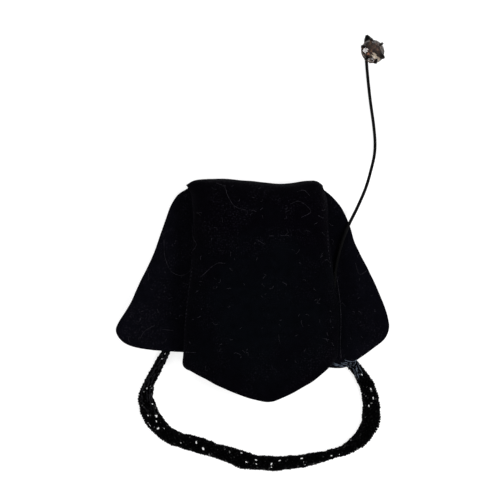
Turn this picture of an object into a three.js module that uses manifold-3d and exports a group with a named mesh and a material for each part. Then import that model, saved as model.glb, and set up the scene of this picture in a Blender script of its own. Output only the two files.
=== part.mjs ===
// A black velvet doll hat, lying on its back: millimetres, +Z up, X to the right and Y towards the stone.
// The origin is on the ground under the middle of the hat's back.

import * as THREE from "three";
import { ConvexGeometry } from "three/addons/geometries/ConvexGeometry.js";
import { mergeVertices } from "three/addons/utils/BufferGeometryUtils.js";
import Module from "manifold-3d";

const wasm = await Module();
wasm.setup();

// Clearances between pieces
const seatGap = 0.3;
const stoneGap = 0.12;

// The lower layer: the hat's back and its two wings
const bellWall = 1.6;
const bellTopY = 25.2;
const topInsetLength = 0.9;
const bellLength = 44;
const leftReach = 34;
const rightReach = 33.9;
const wingCurlHeight = 3.2;
const curlStartWidth = 17;
const foldHeight = 0.7;
const foldWidth = 2.6;
const foldEnds = 0.35;
const foldStart = 0.17;
const hemThinning = 0.55;
const hemBandWidth = 1.6;

// The puffed front
const crownWall = 1.5;
const crownTopY = 26.2;
const crownLength = 44.2;
const crownMiddleOffset = 1.8;
const crownHalfWidth = 18.6;
const crownHeight = 14;
const peakDrop = 9;
const peakOffset = 3.6;
const peakHeight = 8.6;
const peakRollLength = 13;
const topWaveHeight = 1.9;
const topRollLength = 10.5;
const sideTuckWidth = 1.3;
const mouthHemThickness = 0.35;
const dentDepth = 0.9;

// The woven strap of beads
const strapWidth = 3.6;
const strapThickness = 2;
const strapGap = 0.35;
const strapSquareness = 0.85;
const strapTuckRadius = 3.2;
const strapTuckFadeLength = 6;

// The wire and the stone at its end
const wireDiameter = 0.7;
const stemRiseLength = 57.6;
const stemRunWidth = 10;
const stemAnchor = 0.47;
const wireTurnRadius = 0.6;
const stoneDiameter = 5.8;
const stoneTable = 0.55;
const stoneCrown = 0.17;
const stoneGirdle = 0.05;
const stonePavilion = 0.42;
const settingWall = 0.35;
const settingHeight = 2.5;
const settingFootRadius = 1.35;
const settingTilt = 18;
const settingAzimuth = 40;
const jewelAsideOffset = 0.35;
const jewelBelowLength = 3.75;
const clawWidth = 0.62;
const clawLapLength = 0.55;
const clawRoot = 0.4;

// Divisions of the meshes
const bellAcross = 38;
const bellDown = 26;
const crownAcross = 30;
const crownDown = 30;
const strapSides = 12;
const strapSteps = 76;
const wireSides = 8;
const wireSteps = 60;
const cupSides = 24;
const clawSteps = 6;
const clawSides = 3;

// The wings' outlines: "down" is a share of bellLength from the top edge, "out" a share of the wing's reach
const leftWingSide = [
  { down: 0.0, out: 0.5 },
  { down: 0.02, out: 0.545 },
  { down: 0.085, out: 0.6 },
  { down: 0.19, out: 0.648 },
  { down: 0.36, out: 0.728 },
  { down: 0.51, out: 0.82 },
  { down: 0.65, out: 0.908 },
  { down: 0.755, out: 0.985 },
  { down: 0.795, out: 1.0 },
];
const rightWingSide = [
  { down: 0.0, out: 0.525 },
  { down: 0.03, out: 0.573 },
  { down: 0.1, out: 0.65 },
  { down: 0.2, out: 0.708 },
  { down: 0.3, out: 0.747 },
  { down: 0.42, out: 0.818 },
  { down: 0.54, out: 0.892 },
  { down: 0.66, out: 0.965 },
  { down: 0.73, out: 0.993 },
  { down: 0.775, out: 1.0 },
];

// The lower edge from tip to tip: "side" is a share of the wing's reach, "down" a share of bellLength
const bellHem = [
  { side: -1.0, down: 0.794 },
  { side: -0.985, down: 0.823 },
  { side: -0.945, down: 0.856 },
  { side: -0.88, down: 0.88 },
  { side: -0.78, down: 0.898 },
  { side: -0.62, down: 0.91 },
  { side: -0.51, down: 0.914 },
  { side: 0.2, down: 0.953 },
  { side: 0.66, down: 1.0 },
  { side: 0.76, down: 0.957 },
  { side: 0.88, down: 0.891 },
  { side: 0.95, down: 0.848 },
  { side: 0.985, down: 0.81 },
  { side: 1.0, down: 0.776 },
];

// Soft folds of the wings: both ends as shares of reach and length, with shares of foldHeight and foldWidth
const wingFolds = [
  { fromSide: -0.56, fromDown: 0.02, toSide: -0.66, toDown: 0.5, height: 1.0, width: 0.85 },
  { fromSide: -0.74, fromDown: 0.42, toSide: -0.9, toDown: 0.86, height: 0.65, width: 1.0 },
  { fromSide: 0.66, fromDown: 0.2, toSide: 0.76, toDown: 0.62, height: 0.85, width: 0.77 },
  { fromSide: 0.78, fromDown: 0.5, toSide: 0.9, toDown: 0.8, height: 0.65, width: 1.0 },
];

// The front's side edges: "down" is a share of crownLength, "out" a share of crownHalfWidth from its middle
const crownLeftSide = [
  { down: 0.0, out: 1.0 },
  { down: 0.06, out: 0.945 },
  { down: 0.25, out: 0.91 },
  { down: 0.43, out: 0.94 },
  { down: 0.58, out: 0.98 },
  { down: 0.8, out: 1.03 },
  { down: 0.93, out: 1.05 },
  { down: 1.0, out: 1.05 },
];
const crownRightSide = [
  { down: 0.0, out: 0.84 },
  { down: 0.06, out: 0.885 },
  { down: 0.27, out: 0.935 },
  { down: 0.52, out: 1.005 },
  { down: 0.71, out: 1.06 },
  { down: 0.87, out: 1.06 },
  { down: 0.95, out: 1.045 },
  { down: 1.0, out: 0.97 },
];

// The wave of the front's top edge: "side" from left to right, "rise" a share of topWaveHeight
const crownWave = [
  { side: -1.0, rise: 0.0 },
  { side: -0.88, rise: 0.66 },
  { side: -0.5, rise: 1.0 },
  { side: -0.08, rise: 0.72 },
  { side: 0.36, rise: 0.28 },
  { side: 0.7, rise: 0.62 },
  { side: 0.9, rise: 0.66 },
  { side: 1.0, rise: 0.0 },
];
const peakCurve = 1.53;
const archPower = 2.7;
const rollPower = 2.3;
const mouthPower = 1.4;
const tuckPower = 6;
const rowCrowding = 1.35;

// Dents of the front: centre across and down as shares, half widths as shares, depth as a share of dentDepth
const crownDents = [
  { across: 0.36, down: 0.0, wide: 0.13, long: 0.42, depth: 1.0 },
  { across: -0.3, down: 0.62, wide: 0.22, long: 0.16, depth: 0.35 },
  { across: 0.1, down: 0.8, wide: 0.3, long: 0.1, depth: 0.3 },
];

// The strap's route on the ground, chosen by hand: y is measured from the level of the bell's lowest hem,
// and width is a share of strapWidth
const strapRoute = [
  { x: -20.6, y: 6.4, width: 0.53 },
  { x: -21.9, y: 3.6, width: 0.54 },
  { x: -23.6, y: 0.6, width: 0.6 },
  { x: -25.2, y: -2.4, width: 0.65 },
  { x: -26.6, y: -5.4, width: 0.76 },
  { x: -26.7, y: -8.2, width: 1.03 },
  { x: -25.8, y: -11.4, width: 1.13 },
  { x: -23.9, y: -14.3, width: 1.12 },
  { x: -21.2, y: -16.9, width: 1.02 },
  { x: -18.2, y: -18.3, width: 0.98 },
  { x: -13.8, y: -19.6, width: 1.02 },
  { x: -9.2, y: -21.1, width: 0.98 },
  { x: -4.8, y: -22.4, width: 1.07 },
  { x: -2.4, y: -23.3, width: 1.2 },
  { x: 0.4, y: -24.0, width: 0.98 },
  { x: 6.0, y: -24.2, width: 0.91 },
  { x: 11.8, y: -23.7, width: 0.85 },
  { x: 17.0, y: -22.6, width: 0.72 },
  { x: 21.0, y: -21.4, width: 0.6 },
  { x: 24.4, y: -19.4, width: 0.86 },
  { x: 27.2, y: -17.0, width: 1.14 },
  { x: 28.9, y: -14.2, width: 1.2 },
  { x: 29.4, y: -10.4, width: 1.14 },
  { x: 29.0, y: -6.8, width: 1.05 },
  { x: 27.8, y: -3.9, width: 0.98 },
  { x: 26.1, y: -1.1, width: 0.8 },
  { x: 24.7, y: 0.8, width: 0.78 },
  { x: 23.5, y: 3.4, width: 0.78 },
];

// The wire's line from its anchor on the front's right edge: shares of stemRunWidth and stemRiseLength
const stemLine = [
  { run: -0.03, rise: -0.075 },
  { run: 0.0, rise: 0.0 },
  { run: 0.14, rise: 0.107 },
  { run: 0.315, rise: 0.19 },
  { run: 0.54, rise: 0.27 },
  { run: 0.755, rise: 0.357 },
  { run: 0.875, rise: 0.427 },
  { run: 0.97, rise: 0.497 },
  { run: 0.99, rise: 0.55 },
  { run: 0.96, rise: 0.62 },
  { run: 0.865, rise: 0.743 },
  { run: 0.79, rise: 0.87 },
  { run: 0.765, rise: 0.94 },
  { run: 0.765, rise: 1.0 },
];
const stemLeavesWing = 0.24;
const stemLands = 0.6;

const velvet = { color: 0x08080b, roughness: 0.95, metalness: 0 };
const beads = { color: 0x0b0b0e, roughness: 0.25, metalness: 0 };
const covered = { color: 0x050505, roughness: 0.7, metalness: 0 };
const settingMetal = { color: 0x6b625b, roughness: 0.35, metalness: 1 };
const smokyStone = { color: 0x54423a, roughness: 0.05, metalness: 0 };

function smooth(value) {
  const share = THREE.MathUtils.clamp(value, 0, 1);
  return share * share * (3 - 2 * share);
}

function lineThrough(points) {
  const line = new THREE.CatmullRomCurve3(points, false, "centripetal");
  line.arcLengthDivisions = 400;
  return line;
}

// A surface spread between four edge lines, which meet at its corners
function patch(edges, across, down) {
  const top = edges.top.getPointAt(across);
  const bottom = edges.bottom.getPointAt(across);
  const left = edges.left.getPointAt(down);
  const right = edges.right.getPointAt(down);
  const ruledDown = top.lerp(bottom, down);
  const ruledAcross = left.lerp(right, across);
  const cornersTop = edges.topLeft.clone().lerp(edges.topRight, across);
  const cornersBottom = edges.bottomLeft.clone().lerp(edges.bottomRight, across);
  return ruledDown.add(ruledAcross).sub(cornersTop.lerp(cornersBottom, down));
}

function edgesOf(top, bottom, left, right) {
  return {
    top: lineThrough(top),
    bottom: lineThrough(bottom),
    left: lineThrough(left),
    right: lineThrough(right),
    topLeft: top[0].clone(),
    topRight: top[top.length - 1].clone(),
    bottomLeft: bottom[0].clone(),
    bottomRight: bottom[bottom.length - 1].clone(),
  };
}

// A closed sheet: a finely divided box whose every corner point is moved by "place"
function sheetGeometry(across, down, place) {
  const box = new THREE.BoxGeometry(2, 2, 2, across, down, 1);
  const sheet = welded(box);
  const points = sheet.attributes.position;
  const point = new THREE.Vector3();
  for (let index = 0; index < points.count; index += 1) {
    point.fromBufferAttribute(points, index);
    const placed = place((point.x + 1) / 2, (1 - point.y) / 2, point.z);
    points.setXYZ(index, placed.x, placed.y, placed.z);
  }
  return sheet;
}

function welded(geometry) {
  const bare = geometry.clone();
  bare.deleteAttribute("normal");
  bare.deleteAttribute("uv");
  return mergeVertices(bare, 1e-4);
}

// The bell's outline
function reachOn(side) {
  return side < 0 ? leftReach : rightReach;
}

function bellPoint(side, down) {
  return new THREE.Vector3(side * reachOn(side), bellTopY - down * bellLength, 0);
}

const hemPoints = bellHem.map((row) => bellPoint(row.side, row.down));
const leftSidePoints = leftWingSide.map((row) => bellPoint(-row.out, row.down));
const rightSidePoints = rightWingSide.map((row) => bellPoint(row.out, row.down));
leftSidePoints[leftSidePoints.length - 1].copy(hemPoints[0]);
rightSidePoints[rightSidePoints.length - 1].copy(hemPoints[hemPoints.length - 1]);

// The front's outline
function crownPoint(out, down) {
  return new THREE.Vector3(crownMiddleOffset + out * crownHalfWidth, crownTopY - down * crownLength, 0);
}

function peakPoints(left, right) {
  const points = [];
  const steps = 24;
  for (let step = 0; step <= steps; step += 1) {
    const x = THREE.MathUtils.lerp(left.x, right.x, step / steps);
    const span = x < peakOffset ? peakOffset - left.x : right.x - peakOffset;
    const away = Math.min(1, Math.abs(x - peakOffset) / span);
    const cornerY = x < peakOffset ? left.y : right.y;
    points.push(new THREE.Vector3(x, cornerY - peakDrop * (1 - away ** peakCurve), 0));
  }
  return points;
}

const crownLeft = crownLeftSide.map((row) => crownPoint(-row.out, row.down));
const crownRight = crownRightSide.map((row) => crownPoint(row.out, row.down));
const crownTop = crownWave.map((row) => {
  const share = (row.side + 1) / 2;
  const x = THREE.MathUtils.lerp(crownLeft[0].x, crownRight[0].x, share);
  return new THREE.Vector3(x, crownTopY + row.rise * topWaveHeight, 0);
});
const crownPeak = peakPoints(crownLeft[crownLeft.length - 1], crownRight[crownRight.length - 1]);
const crownEdges = edgesOf(crownTop, crownPeak, crownLeft, crownRight);

// The bell's top edge stays hidden just inside the front's wave
const bellTopPoints = crownTop.slice(1, -1).map((point) => {
  return new THREE.Vector3(point.x, point.y - topInsetLength, 0);
});
bellTopPoints.unshift(leftSidePoints[0]);
bellTopPoints.push(rightSidePoints[0]);
const bellEdges = edgesOf(bellTopPoints, hemPoints, leftSidePoints, rightSidePoints);

// How far the bell's underside is raised off the ground
function foldLift(fold, x, y) {
  const start = bellPoint(fold.fromSide, fold.fromDown);
  const end = bellPoint(fold.toSide, fold.toDown);
  const line = new THREE.Line3(start, end);
  const point = new THREE.Vector3(x, y, 0);
  const share = line.closestPointToPointParameter(point, true);
  const nearest = line.at(share, new THREE.Vector3());
  const spread = Math.exp(-((nearest.distanceTo(point) / (fold.width * foldWidth)) ** 2));
  return fold.height * foldHeight * spread * THREE.MathUtils.lerp(foldEnds, 1, Math.sin(Math.PI * share));
}

const hemLevel = bellTopY - bellLength;
const strapPoints = strapRoute.map((row) => new THREE.Vector3(row.x, hemLevel + row.y, 0));

function strapLift(x, y) {
  let lift = 0;
  for (const end of [strapPoints[0], strapPoints[strapPoints.length - 1]]) {
    const distance = Math.hypot(x - end.x, y - end.y);
    const share = smooth(1 - (distance - strapTuckRadius) / strapTuckFadeLength);
    lift = Math.max(lift, share * (strapThickness + strapGap));
  }
  return lift;
}

function bellLift(x, y) {
  const reach = reachOn(x);
  const out = THREE.MathUtils.clamp((Math.abs(x) - curlStartWidth) / (reach - curlStartWidth), 0, 1);
  let lift = wingCurlHeight * out * out;
  for (const fold of wingFolds) {
    lift += foldLift(fold, x, y) * smooth(out / foldStart);
  }
  return Math.max(lift, strapLift(x, y));
}

function bellTop(x, y) {
  return bellLift(x, y) + bellWall;
}

function bellPlace(across, down, face) {
  const point = patch(bellEdges, across, down);
  const sides = Math.min(across, 1 - across) * (leftReach + rightReach);
  const ends = Math.min(down, 1 - down) * bellLength;
  const inward = THREE.MathUtils.clamp(Math.min(sides, ends) / hemBandWidth, 0, 1);
  const round = Math.sqrt(1 - (1 - inward) ** 2);
  const half = (bellWall / 2) * (1 - hemThinning * (1 - round));
  point.z = bellLift(point.x, point.y) + bellWall / 2 + (face > 0 ? half : -half);
  return point;
}

// The height of the front's arch at a distance from its top edge, as a share of crownHeight
function crownRise(down) {
  const run = down * crownLength;
  const rolled = THREE.MathUtils.clamp(1 - run / topRollLength, 0, 1);
  const closing = (1 - rolled ** rollPower) ** (1 / rollPower);
  const toMouth = smooth(1 - (crownLength - run) / peakRollLength);
  return closing * THREE.MathUtils.lerp(1, peakHeight / crownHeight, toMouth ** mouthPower);
}

function crownDent(across, down) {
  let depth = 0;
  for (const dent of crownDents) {
    const sideways = (across - dent.across) / dent.wide;
    const lengthways = (down - dent.down) / dent.long;
    depth += dent.depth * dentDepth * Math.exp(-(sideways ** 2) - lengthways ** 2);
  }
  return depth;
}

function crownPlace(across, down, face) {
  const outer = face > 0;
  const rowDown = down ** rowCrowding;
  const sideways = Math.sin(Math.PI * (across - 0.5));
  const raised = (1 - Math.min(1, Math.abs(sideways)) ** archPower) ** (1 / archPower);
  const wallDown = crownWall / crownLength;
  const placedDown = outer ? rowDown : wallDown + rowDown * (1 - wallDown);
  const tucked = (sideTuckWidth / crownHalfWidth) * (1 - raised) ** tuckPower;
  const thinner = outer ? 0 : crownWall / crownHalfWidth;
  const side = sideways * (1 - tucked - thinner);
  const point = patch(crownEdges, (side + 1) / 2, placedDown);
  const left = patch(crownEdges, tucked / 2, placedDown);
  const right = patch(crownEdges, 1 - tucked / 2, placedDown);
  const leftSeat = bellTop(left.x, left.y) + seatGap;
  const rightSeat = bellTop(right.x, right.y) + seatGap;
  const seat = THREE.MathUtils.lerp(leftSeat, rightSeat, (side + 1) / 2);
  const hem = mouthHemThickness * smooth(1 - ((1 - down) * crownLength) / crownWall);
  const fullHeight = crownWall + (crownHeight - crownWall) * crownRise(placedDown) + hem;
  const height = outer ? fullHeight : fullHeight - crownWall - 2 * hem;
  const dent = crownDent(side, placedDown) * raised * crownRise(placedDown);
  point.z = seat + Math.max(0, height * raised - dent);
  return point;
}

// The strap: a flattened round section carried along its route
function strapGeometry() {
  const route = lineThrough(strapPoints);
  const widths = lineThrough(strapRoute.map((row, index) => new THREE.Vector3(index, row.width, 0)));
  const lastRow = strapRoute.length - 1;
  const tube = welded(new THREE.CylinderGeometry(1, 1, 1, strapSides, strapSteps));
  const points = tube.attributes.position;
  const point = new THREE.Vector3();
  for (let index = 0; index < points.count; index += 1) {
    point.fromBufferAttribute(points, index);
    const along = point.y + 0.5;
    const centre = route.getPointAt(along);
    const tangent = route.getTangentAt(along);
    const row = route.getUtoTmapping(along) * lastRow;
    const width = widths.getPoint(row / lastRow).y * strapWidth;
    const sideways = Math.sign(point.x) * Math.abs(point.x) ** strapSquareness;
    const upwards = Math.sign(point.z) * Math.abs(point.z) ** strapSquareness;
    const shift = (sideways * width) / 2;
    const raised = (strapThickness / 2) * (1 + upwards);
    points.setXYZ(index, centre.x + tangent.y * shift, centre.y - tangent.x * shift, raised);
  }
  return tube;
}

// The wire
const anchor = crownEdges.right.getPointAt(stemAnchor);
const wireRadius = wireDiameter / 2;

function stemPlan() {
  const startX = anchor.x + wireRadius;
  const points = stemLine.map((row) => {
    return new THREE.Vector3(startX + row.run * stemRunWidth, anchor.y + row.rise * stemRiseLength, 0);
  });
  const end = points[points.length - 1];
  const turnShares = [0.35, 0.8];
  for (const share of turnShares) {
    const angle = Math.PI * (1 - share);
    const x = end.x + wireTurnRadius * (1 + Math.cos(angle));
    points.push(new THREE.Vector3(x, end.y + wireTurnRadius * Math.sin(angle), 0));
  }
  points.push(new THREE.Vector3(end.x + 2 * wireTurnRadius, end.y - stoneDiameter, 0));
  return points;
}

// The wire follows its plan, over the wing first and then down to the ground
class StemCurve extends THREE.Curve {
  constructor(points) {
    super();
    this.plan = lineThrough(points);
  }

  getPoint(share) {
    const point = this.plan.getPointAt(share);
    const rise = (point.y - anchor.y) / stemRiseLength;
    const lowered = smooth((rise - stemLeavesWing) / (stemLands - stemLeavesWing));
    const overWing = bellTop(point.x, point.y) + seatGap + wireRadius;
    point.z = THREE.MathUtils.lerp(overWing, wireRadius, lowered);
    return point;
  }
}

function wireGeometry(points) {
  const section = new THREE.Shape(ring(wireSides, wireRadius, 0, 0.5));
  const path = new StemCurve(points);
  return new THREE.ExtrudeGeometry(section, { steps: wireSteps, bevelEnabled: false, extrudePath: path });
}

// The stone, standing on its culet
const stoneRadius = stoneDiameter / 2;
const pavilionDepth = stonePavilion * stoneDiameter;
const rimRadius = stoneRadius + stoneGap;
const seatRadius = rimRadius - settingWall;
const girdleLow = settingHeight + ((stoneRadius - seatRadius) * pavilionDepth) / stoneRadius + stoneGap;
const girdleHigh = girdleLow + stoneGirdle * stoneDiameter;
const tableLevel = girdleHigh + stoneCrown * stoneDiameter;

function ring(count, radius, level, turn) {
  const points = [];
  for (let corner = 0; corner < count; corner += 1) {
    const angle = (2 * Math.PI * (corner + turn)) / count;
    points.push(new THREE.Vector3(radius * Math.cos(angle), radius * Math.sin(angle), level));
  }
  return points;
}

// Rings of corners from the table down: "radius" is a share of the stone's radius, "level" one of the height
// of its crown or the depth of its pavilion
const crownRings = [
  { corners: 8, radius: stoneTable, level: 1.0, turn: 0 },
  { corners: 8, radius: 0.82, level: 0.55, turn: 0.5 },
  { corners: 16, radius: 1.0, level: 0.0, turn: 0 },
];
const pavilionRings = [
  { corners: 16, radius: 1.0, level: 0.0, turn: 0 },
  { corners: 8, radius: 0.24, level: 0.78, turn: 0.5 },
];

function stoneGeometry() {
  const points = [new THREE.Vector3(0, 0, girdleLow - pavilionDepth)];
  for (const row of crownRings) {
    const level = THREE.MathUtils.lerp(girdleHigh, tableLevel, row.level);
    points.push(...ring(row.corners, stoneRadius * row.radius, level, row.turn));
  }
  for (const row of pavilionRings) {
    const level = girdleLow - row.level * pavilionDepth;
    points.push(...ring(row.corners, stoneRadius * row.radius, level, row.turn));
  }
  return new ConvexGeometry(points);
}

// The setting: an open cup with claws bent over the stone
const clawAngles = [40, 100, 160, 228, 280, 328];

// How the claws run, as shares: of the wall that their roots sink into, of the clearance that they keep from
// the girdle, of the lap where they bend, and of the stone's crown where they bend and end
const clawSunk = 1 / 3;
const clawStandOff = 1.15;
const clawBendLap = 0.25;
const clawBendLevel = 0.5;
const clawTipLevel = 0.75;

function cupGeometry() {
  const profile = [
    new THREE.Vector2(settingFootRadius, 0),
    new THREE.Vector2(rimRadius, settingHeight),
    new THREE.Vector2(seatRadius, settingHeight),
    new THREE.Vector2(settingFootRadius - settingWall, 0),
    new THREE.Vector2(settingFootRadius, 0),
  ];
  return new THREE.LatheGeometry(profile, cupSides).rotateX(Math.PI / 2);
}

function clawGeometry(degrees) {
  const clear = stoneGap + settingWall / 2;
  const root = THREE.MathUtils.lerp(settingFootRadius, rimRadius, clawRoot) - settingWall * clawSunk;
  const bend = THREE.MathUtils.lerp(girdleHigh, tableLevel, clawBendLevel) + clear;
  const tip = THREE.MathUtils.lerp(girdleHigh, tableLevel, clawTipLevel) + clear;
  const profile = [
    { out: root, up: settingHeight * clawRoot },
    { out: rimRadius, up: settingHeight },
    { out: stoneRadius + clear * clawStandOff, up: girdleHigh },
    { out: stoneRadius - clawLapLength * clawBendLap, up: bend },
    { out: stoneRadius - clawLapLength, up: tip },
  ];
  const points = profile.map((row) => new THREE.Vector3(row.out, 0, row.up));
  const section = new THREE.Shape();
  section.absellipse(0, 0, clawWidth / 2, settingWall / 2, 0, 2 * Math.PI);
  const path = lineThrough(points);
  const claw = new THREE.ExtrudeGeometry(section, {
    steps: clawSteps,
    curveSegments: clawSides,
    bevelEnabled: false,
    extrudePath: path,
  });
  return claw.rotateZ(THREE.MathUtils.degToRad(degrees));
}

function solidOf(geometry) {
  const closed = welded(geometry);
  const mesh = new wasm.Mesh({
    numProp: 3,
    vertProperties: new Float32Array(closed.attributes.position.array),
    triVerts: new Uint32Array(closed.index.array),
  });
  return new wasm.Manifold(mesh);
}

function geometryOf(solid) {
  const mesh = solid.getMesh();
  const geometry = new THREE.BufferGeometry();
  geometry.setAttribute("position", new THREE.BufferAttribute(new Float32Array(mesh.vertProperties), 3));
  geometry.setIndex(new THREE.BufferAttribute(new Uint32Array(mesh.triVerts), 1));
  return geometry;
}

function settingGeometry() {
  let solid = solidOf(cupGeometry());
  for (const degrees of clawAngles) {
    solid = solid.add(solidOf(clawGeometry(degrees)));
  }
  return geometryOf(solid);
}

function named(name, geometry, look) {
  const mesh = new THREE.Mesh(geometry, new THREE.MeshStandardMaterial(look));
  mesh.name = name;
  return mesh;
}

const wireLine = stemPlan();
const wireEnd = wireLine[wireLine.length - 1];
const wireTop = wireLine[stemLine.length - 1];

// The setting leans on the doubled wire, tilted about its foot
const jewel = new THREE.Group();
const tilt = THREE.MathUtils.degToRad(settingTilt);
const azimuth = THREE.MathUtils.degToRad(settingAzimuth);
const leanAxis = new THREE.Vector3(-Math.sin(azimuth), Math.cos(azimuth), 0);
jewel.quaternion.setFromAxisAngle(leanAxis, tilt);
jewel.position.set(
  (wireTop.x + wireEnd.x) / 2 + jewelAsideOffset,
  wireTop.y - jewelBelowLength,
  wireDiameter + stoneGap + settingFootRadius * Math.sin(tilt),
);
jewel.add(named("stone_setting", settingGeometry(), settingMetal));
jewel.add(named("rhinestone", stoneGeometry(), smokyStone));

const hat = new THREE.Group();
hat.add(named("bell_back", sheetGeometry(bellAcross, bellDown, bellPlace), velvet));
hat.add(named("crown_front", sheetGeometry(crownAcross, crownDown, crownPlace), velvet));
hat.add(named("bead_strap", strapGeometry(), beads));
hat.add(named("stem_wire", wireGeometry(wireLine), covered));
hat.add(jewel);

export default hat;
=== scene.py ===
"""The looks of a black velvet doll hat, lying on its back with its beaded strap and its stone on a wire."""

import math
import random

import bmesh
import bpy
from mathutils import Matrix, Vector, noise
from mathutils.bvhtree import BVHTree
from mathutils.geometry import interpolate_bezier


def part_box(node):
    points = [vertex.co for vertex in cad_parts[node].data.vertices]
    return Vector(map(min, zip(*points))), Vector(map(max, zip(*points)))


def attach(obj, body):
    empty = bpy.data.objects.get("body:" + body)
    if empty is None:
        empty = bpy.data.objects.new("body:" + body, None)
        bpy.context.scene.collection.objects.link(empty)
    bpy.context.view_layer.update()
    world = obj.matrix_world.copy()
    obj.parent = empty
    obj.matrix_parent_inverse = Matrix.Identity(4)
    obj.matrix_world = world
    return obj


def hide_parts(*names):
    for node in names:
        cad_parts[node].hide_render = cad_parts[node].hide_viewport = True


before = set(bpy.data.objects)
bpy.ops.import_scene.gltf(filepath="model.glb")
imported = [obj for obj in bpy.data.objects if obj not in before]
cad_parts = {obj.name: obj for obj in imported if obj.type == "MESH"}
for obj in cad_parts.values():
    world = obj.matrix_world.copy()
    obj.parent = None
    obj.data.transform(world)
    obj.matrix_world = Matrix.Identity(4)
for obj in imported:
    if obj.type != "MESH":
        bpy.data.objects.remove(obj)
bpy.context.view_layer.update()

MM = 0.001

# The camera looks straight down; the picture is 500 pixels of a quarter millimetre wide at the ground. Its
# near limit is in metres
CAMERA_PLACE = Vector((-0.75, 10.25, 800.0)) * MM
PICTURE_WIDTH = 125 * MM
SENSOR_WIDTH = 36
CLIP_START = 0.01

# The floor, and the lamps: a ring of soft ones all round, a small key lamp, and a glint lamp that one facet
# of the stone mirrors; metres and watts
FLOOR_REACH = 3.0
FLOOR_DROP = 0.02 * MM
FLOOR_SHADE = (0.4, 0.4, 0.4, 1.0)
FLOOR_GLOW = 0.74
FLOOR_ROUGHNESS = 0.9
RING_COUNT = 6
RING_RADIUS = 0.95
RING_HEIGHT = 0.9
RING_SIZE = 0.6
RING_START = math.radians(10)
RING_POWER = 3.6
KEY_PLACE = (0.6, -0.1, 0.95)
KEY_SIZE = 0.2
KEY_POWER = 4.0
GLINT_PLACE = (-0.79, 0.503, 0.757)
GLINT_SIZE = 0.09
GLINT_POWER = 0.22
ROOM_LIGHT = 0.12

# How the nodes' forms are merged, joined into quads and rounded, with a cage fitted in rounds
MERGE_DISTANCE = 0.002 * MM
JOINED_ANGLE = 1.2
VELVET_DIVISIONS = 2
WIRE_DIVISIONS = 1
CAGE_ROUNDS = 2

# The velvet's rumples, wide and fine, and the height above the ground from which they are whole
RUMPLE_SIZE = 9.0 * MM
RUMPLE_DEPTH = 0.38 * MM
RIPPLE_SIZE = 3.2 * MM
RIPPLE_DEPTH = 0.09 * MM
LOOSE_HEIGHT = 3.0 * MM

# Where in the noise each piece takes its rumples, and from there where it takes them along x, y and z
BELL_CLOUD = Vector((310.8, -243.6, 109.2))
CROWN_CLOUD = Vector((225.7, -176.9, 79.3))
CLOUD_STEPS = [Vector((0.0, 0.0, 0.0)), Vector((31.7, 11.3, 7.1)), Vector((-17.9, 23.1, 5.7))]

# The front's middle gathers the least dust and gets the lightest painted shade: a point in millimetres, and
# how far it is clean and lighter
CLEAN_AND_LIT_MIDDLE = (3.0, -4.0, 14.0)
CLEAN_AND_LIT_REACH = 30.0

# The velvet's shades, outwards and in the middle, a painted shade that is darker outwards, and its dust;
# colours are linear red, green and blue
BELL_SHADES = ((0.0017, 0.0017, 0.0030), (0.0016, 0.0020, 0.0032))
CROWN_SHADES = ((0.0008, 0.0006, 0.0014), (0.0011, 0.0014, 0.0022))
BRUSHED_SHADES = ((0.5, 0.5, 0.5), (1.5, 1.5, 1.5))
DUST_SHADE = (0.011, 0.010, 0.014)
VELVET_SHINE = 0.01
SHEEN = 0.008
SHEEN_ROUGHNESS = 0.3
SHEEN_TINT = (0.75, 0.78, 1.0, 1.0)

# The stops of the velvet's ramps, as pairs of position and shade: the painted shade of its middle, and its
# dust's specks, patches and share outwards
PAINTED_SHADE_STOPS = [(0.35, 0.0), (0.6, 1.0)]
SPECK_STOPS = [(0.58, 0.0), (0.72, 1.0)]
DUST_STOPS = [(0.42, 0.1), (0.62, 1.0)]
OUTWARD_STOPS = [(0.35, 0.25), (0.9, 1.0)]

# The sizes of the velvet's features, in millimetres: shades, brushed patches, dust, its specks, and the pile
SHADE_SIZE = 9.0
PATCH_SIZE = 1.6
DUST_SIZE = 6.0
SPECK_SIZE = 0.3
PILE_SIZE = 0.22
TUFTED_SIZE = 0.9
PILE_SHARE = 0.6
PILE_DEPTH = 0.1

# Seed beads of the strap; a bead's shoulder is a share of its radius, its belt a share of its length
BEAD_RADIUS = 0.37 * MM
BEAD_HOLE = 0.13 * MM
BEAD_LENGTH = 0.62 * MM
BEAD_SHOULDER = 0.66
BEAD_BELT = 0.42
BEAD_SIDES = 8
BEAD_SEED = 11
BEAD_STEP = 0.53 * MM
FEWEST_BEADS = 5
STRAP_THICKNESS = 2.0 * MM
HEM_LEVEL = -18.8
BEAD_TILT = math.radians(14)
BEAD_JITTER = 0.03 * MM
BEAD_SIZE_SPREAD = 0.08
TURN_SPREAD = 0.12
FACETED_SHARE = 0.25
BEAD_SHADES = ((0.0004, 0.0004, 0.0005), (0.0011, 0.0010, 0.0014))
BEAD_SHINE = 0.02
CUT_SIZE = 0.75
CUT_STOPS = [(0.68, 0.0), (0.74, 0.8)]
CUT_ROUGHNESS = 0.05
BEAD_TONE_SIZE = 0.9
BEAD_TONE_STOPS = [(0.35, 0.0), (0.7, 1.0)]
GLOSS_SIZE = 1.7
LEAST_ROUGHNESS = 0.12
ROUGHNESS_SPREAD = 0.25

# The waves of the strap's edges
WAVE_SIZE = 1.7 * MM
WAVE_DEPTH = 0.3 * MM

# At a gap, beads this near its middle are left out and others stand back; those beyond this share of the
# strap's half width stay in place
GAP_CORE = 0.2 * MM
STAND_BACK = 0.65 * BEAD_RADIUS
OUTERMOST = 0.9

# The dark threads inside the strap, lane by lane, that carry the beads; at a gap they part by a share of it
CORE_RADIUS = 0.21 * MM
CORE_PITCH = 0.33 * MM
CORE_STEP = 0.2 * MM
CORE_EDGE = 0.45 * MM
CORE_LANES = 6
CORE_PARTED = 0.75

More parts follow.
